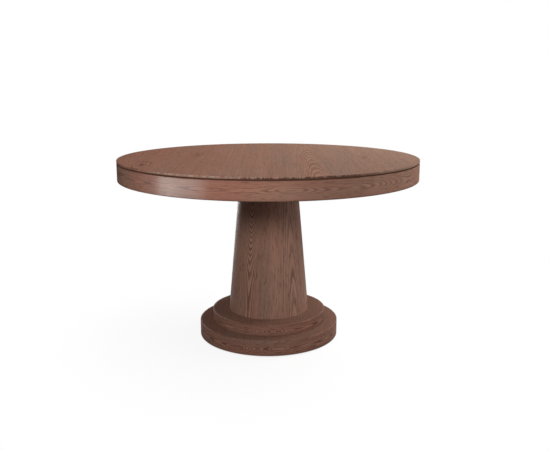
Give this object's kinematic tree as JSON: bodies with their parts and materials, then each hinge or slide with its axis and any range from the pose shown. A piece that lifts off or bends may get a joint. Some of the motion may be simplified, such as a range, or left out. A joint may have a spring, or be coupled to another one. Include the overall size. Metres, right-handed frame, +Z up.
{
  "type": "round pedestal table",
  "caption": "Round wooden table: a thick-edged top with a shadow groove on a tapered round column, standing on a stepped round base with levelling feet.",
  "frame": {"origin": "on the floor, under the axis of the column", "axes": "+Z up along the column's axis, -Y towards the front, +X to the right seen from the front"},
  "size_m": [1.235, 1.235, 0.762],
  "materials": {
    "stained_oak": "brown stain under satin lacquer",
    "veneered_core": "oak veneer, brown stain under satin lacquer",
    "plywood": "sealed plywood",
    "beech": "planed, sealed",
    "zinc_steel": "zinc plated",
    "foot_plastic": "moulded nylon"
  },
  "bodies": {
    "table": {"apron_blocks": "beech", "apron_segment_back_left": "stained_oak", "apron_segment_back_right": "stained_oak", "apron_segment_front": "stained_oak", "apron_tongues": "beech", "bearer_front_back": "beech", "bearer_left_right": "beech", "column_bottom_former": "plywood", "column_foot_dowels": "beech", "column_middle_former": "plywood", "column_panel_1": "stained_oak", "column_panel_2": "stained_oak", "column_panel_3": "stained_oak", "column_panel_4": "stained_oak", "column_panel_5": "stained_oak", "column_tongues": "beech", "column_top_dowels": "beech", "column_top_former": "plywood", "leveller_inserts": "zinc_steel", "lower_plinth_band_back": "stained_oak", "lower_plinth_band_front": "stained_oak", "lower_plinth_core": "veneered_core", "plinth_dowels": "beech", "plinth_screws": "zinc_steel", "tie_rod": "zinc_steel", "tie_rod_bottom_nut": "zinc_steel", "tie_rod_bottom_washer": "zinc_steel", "tie_rod_top_nut": "zinc_steel", "tie_rod_top_washer": "zinc_steel", "top_board_1": "stained_oak", "top_board_2": "stained_oak", "top_board_3": "stained_oak", "top_board_4": "stained_oak", "top_board_5": "stained_oak", "top_board_6": "stained_oak", "top_bolts": "zinc_steel", "top_core": "plywood", "top_inserts": "zinc_steel", "top_washers": "zinc_steel", "upper_plinth_band_back": "stained_oak", "upper_plinth_band_front": "stained_oak", "upper_plinth_core": "veneered_core"},
    "leveller_back_right": {"leveller_pad_back_right": "foot_plastic", "leveller_stud_back_right": "zinc_steel"},
    "leveller_back_left": {"leveller_pad_back_left": "foot_plastic", "leveller_stud_back_left": "zinc_steel"},
    "leveller_front_left": {"leveller_pad_front_left": "foot_plastic", "leveller_stud_front_left": "zinc_steel"},
    "leveller_front_right": {"leveller_pad_front_right": "foot_plastic", "leveller_stud_front_right": "zinc_steel"}
  },
  "joints": [
    {"name": "leveller_back_right_screw", "type": "slide", "parent": "table", "child": "leveller_back_right", "axis": [0, 0, -1], "range_m": [0, 0.012]},
    {"name": "leveller_back_left_screw", "type": "slide", "parent": "table", "child": "leveller_back_left", "axis": [0, 0, -1], "range_m": [0, 0.012]},
    {"name": "leveller_front_left_screw", "type": "slide", "parent": "table", "child": "leveller_front_left", "axis": [0, 0, -1], "range_m": [0, 0.012]},
    {"name": "leveller_front_right_screw", "type": "slide", "parent": "table", "child": "leveller_front_right", "axis": [0, 0, -1], "range_m": [0, 0.012]}
  ]
}
